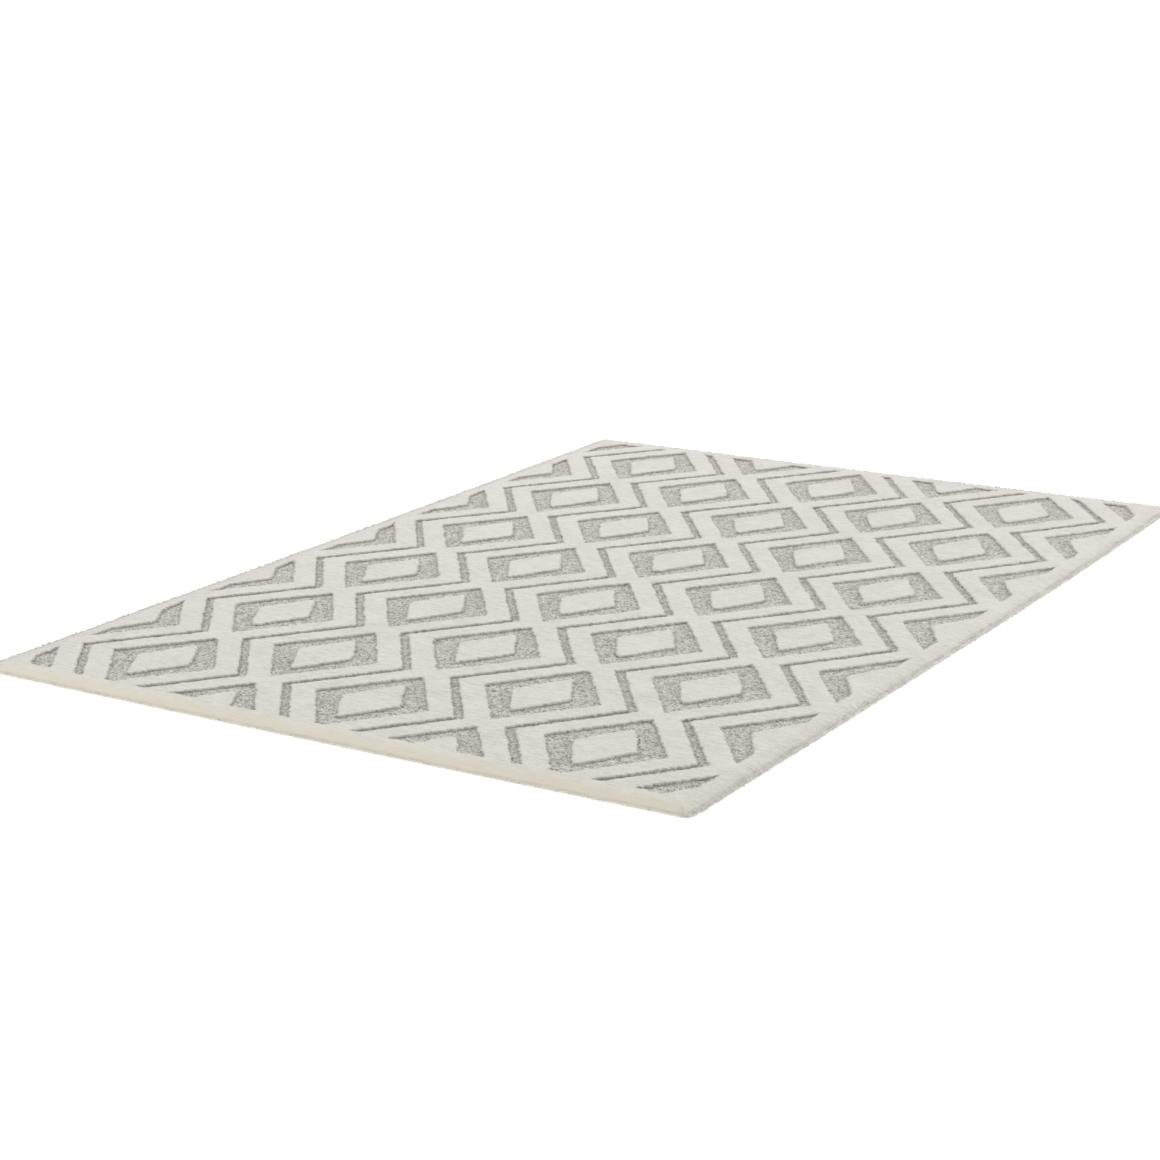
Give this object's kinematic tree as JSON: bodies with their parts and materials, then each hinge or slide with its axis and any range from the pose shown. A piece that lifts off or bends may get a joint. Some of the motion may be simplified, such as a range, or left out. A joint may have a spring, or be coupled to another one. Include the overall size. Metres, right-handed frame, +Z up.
{
  "type": "area rug",
  "caption": "Rectangular woven area rug with raised cream pile in linked diamonds around sunken mottled grey pile, plain cream border and bound edges.",
  "frame": {"origin": "middle of the underside, at floor level", "axes": "+X across the rug, +Y along its length, +Z up through the pile"},
  "size_m": [1.6, 2.3, 0.015],
  "materials": {
    "cream_pile": "soft matte cut pile, cream",
    "grey_pile": "soft matte low pile, mottled light and dark grey",
    "ground_cloth": "plain woven backing cloth",
    "latex_coat": "thin matte coat over the back",
    "hem_tape": "flat woven tape",
    "binding_yarn": "tightly wrapped overlock yarn"
  },
  "bodies": {
    "root": {"ground_weave": "ground_cloth", "back_coating": "latex_coat", "front_hem_tape": "hem_tape", "back_hem_tape": "hem_tape", "left_side_binding": "binding_yarn", "right_side_binding": "binding_yarn", "front_border_pile": "cream_pile", "back_border_pile": "cream_pile", "left_border_pile": "cream_pile", "right_border_pile": "cream_pile", "cream_chain_1": "cream_pile", "cream_chain_2": "cream_pile", "cream_chain_3": "cream_pile", "cream_chain_4": "cream_pile", "cream_chain_5": "cream_pile", "cream_chain_6": "cream_pile", "cream_chain_7": "cream_pile", "cream_islands_2": "cream_pile", "cream_islands_3": "cream_pile", "cream_islands_4": "cream_pile", "cream_islands_5": "cream_pile", "cream_islands_6": "cream_pile", "grey_rings_1": "grey_pile", "grey_rings_2": "grey_pile", "grey_rings_3": "grey_pile", "grey_rings_4": "grey_pile", "grey_rings_5": "grey_pile", "grey_rings_6": "grey_pile", "grey_rings_7": "grey_pile", "grey_zigzag_1": "grey_pile", "grey_zigzag_2": "grey_pile", "grey_zigzag_3": "grey_pile", "grey_zigzag_4": "grey_pile", "grey_zigzag_5": "grey_pile", "grey_zigzag_6": "grey_pile"}
  },
  "joints": []
}
